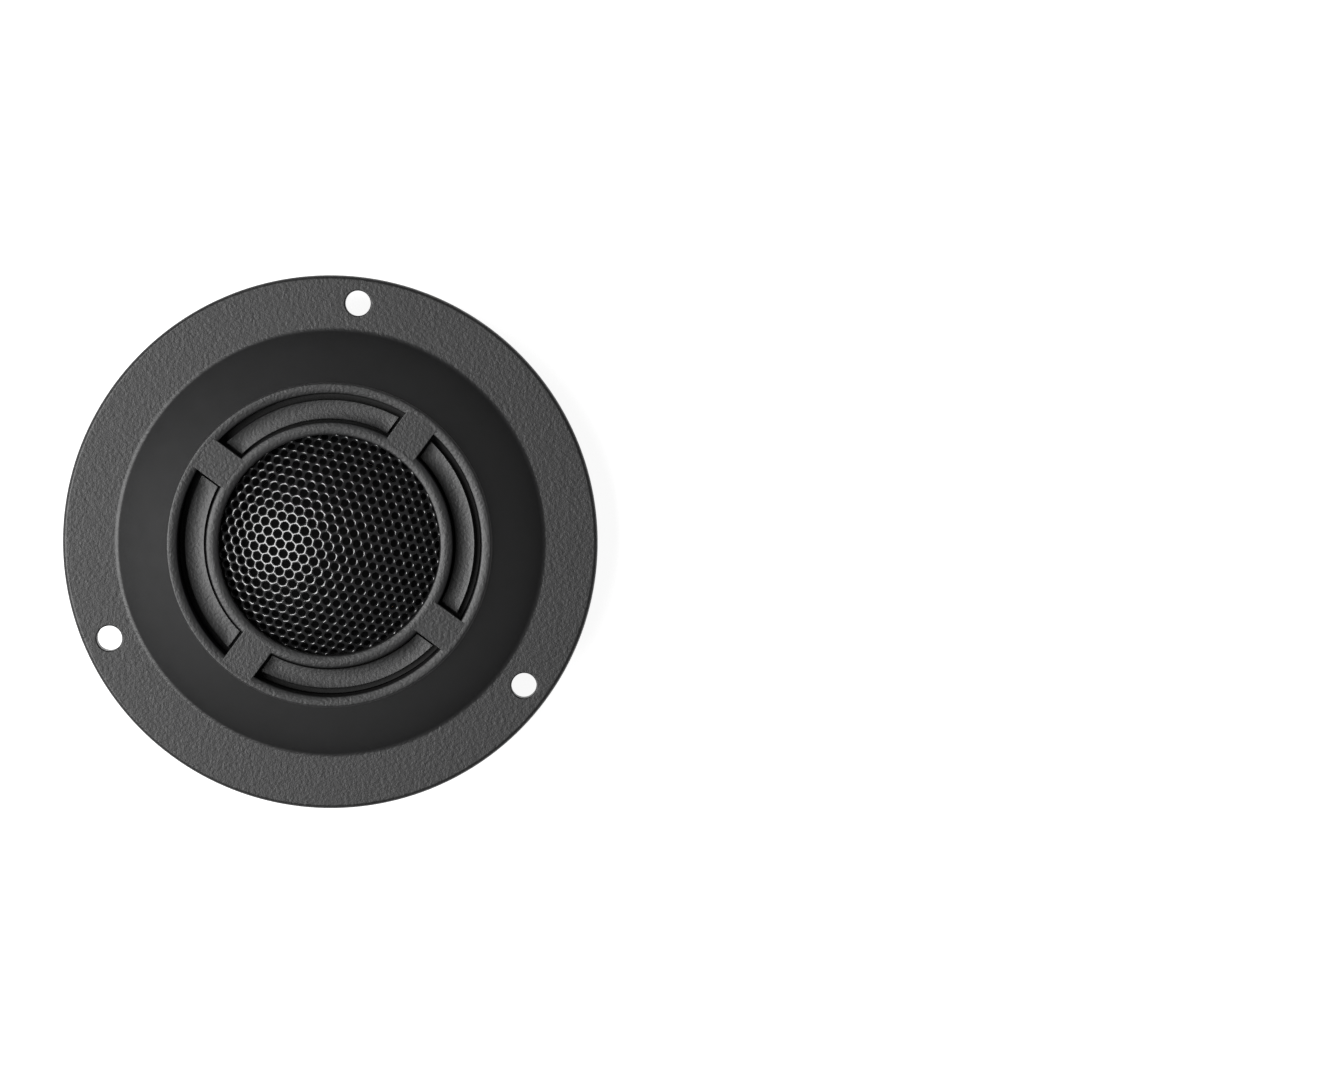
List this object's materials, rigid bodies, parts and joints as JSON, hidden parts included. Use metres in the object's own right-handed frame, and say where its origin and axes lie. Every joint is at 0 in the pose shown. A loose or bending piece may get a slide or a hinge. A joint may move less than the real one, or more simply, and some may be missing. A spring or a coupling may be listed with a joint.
{
  "type": "car tweeter",
  "caption": "Round flush-mount dome tweeter: grained flange with screw holes, a low cone up to a windowed ring, a perforated dome grille, and a motor in a rear chassis.",
  "frame": {"origin": "on the axis, in the plane of the flange's back face, at the centre of the flange screw holes", "axes": "+Z out of the grille, the way the tweeter plays; +Y from the axis towards the first flange screw hole, on the side of the terminals"},
  "size_m": [0.076, 0.076, 0.0219],
  "materials": {
    "grained_black_abs": "black ABS with a fine leather grain",
    "smooth_black_abs": "black ABS, satin from the mould",
    "grille_paint": "semi-gloss black enamel on perforated steel",
    "coated_silk": "doped black silk, slightly tacky sheen",
    "black_felt": "pressed wool felt",
    "gasket_foam": "closed-cell foam",
    "copper_wire": "enamelled copper",
    "former_foil": "anodised foil",
    "nickel_plate": "nickel plate over sintered magnet",
    "zinc_plate": "bright zinc over turned steel",
    "screw_steel": "black zinc on steel",
    "tinned_brass": "tin plate over stamped brass",
    "rivet_brass": "plain brass",
    "solder": "bright tin solder",
    "phenolic": "brown phenolic paper board",
    "capacitor_sleeve": "dark blue shrink sleeve on an aluminium can",
    "bung_rubber": "moulded rubber"
  },
  "bodies": {
    "housing": {"faceplate": "grained_black_abs", "grille_dome": "grille_paint", "clamp_ring": "smooth_black_abs", "front_gasket": "gasket_foam", "surround": "coated_silk", "diaphragm_frame": "smooth_black_abs", "coil_lead_positive": "copper_wire", "coil_lead_negative": "copper_wire", "pole_felt": "black_felt", "pole_plate": "zinc_plate", "magnet": "nickel_plate", "yoke_cup": "zinc_plate", "chassis": "smooth_black_abs", "chassis_screws": "screw_steel", "terminal_board": "phenolic", "terminal_positive": "tinned_brass", "terminal_negative": "tinned_brass", "terminal_rivets": "rivet_brass", "solder_joints": "solder", "capacitor_can": "capacitor_sleeve", "capacitor_bungs": "bung_rubber", "capacitor_leads": "tinned_brass"},
    "diaphragm": {"silk_dome": "coated_silk", "coil_former": "former_foil", "voice_coil": "copper_wire"}
  },
  "joints": [
    {"name": "coil_travel", "type": "slide", "parent": "housing", "child": "diaphragm", "axis": [0, 0, 1], "range_m": [-0.0004, 0.0004], "stiffness_N_per_m": 15000, "deforming": ["surround"]}
  ]
}
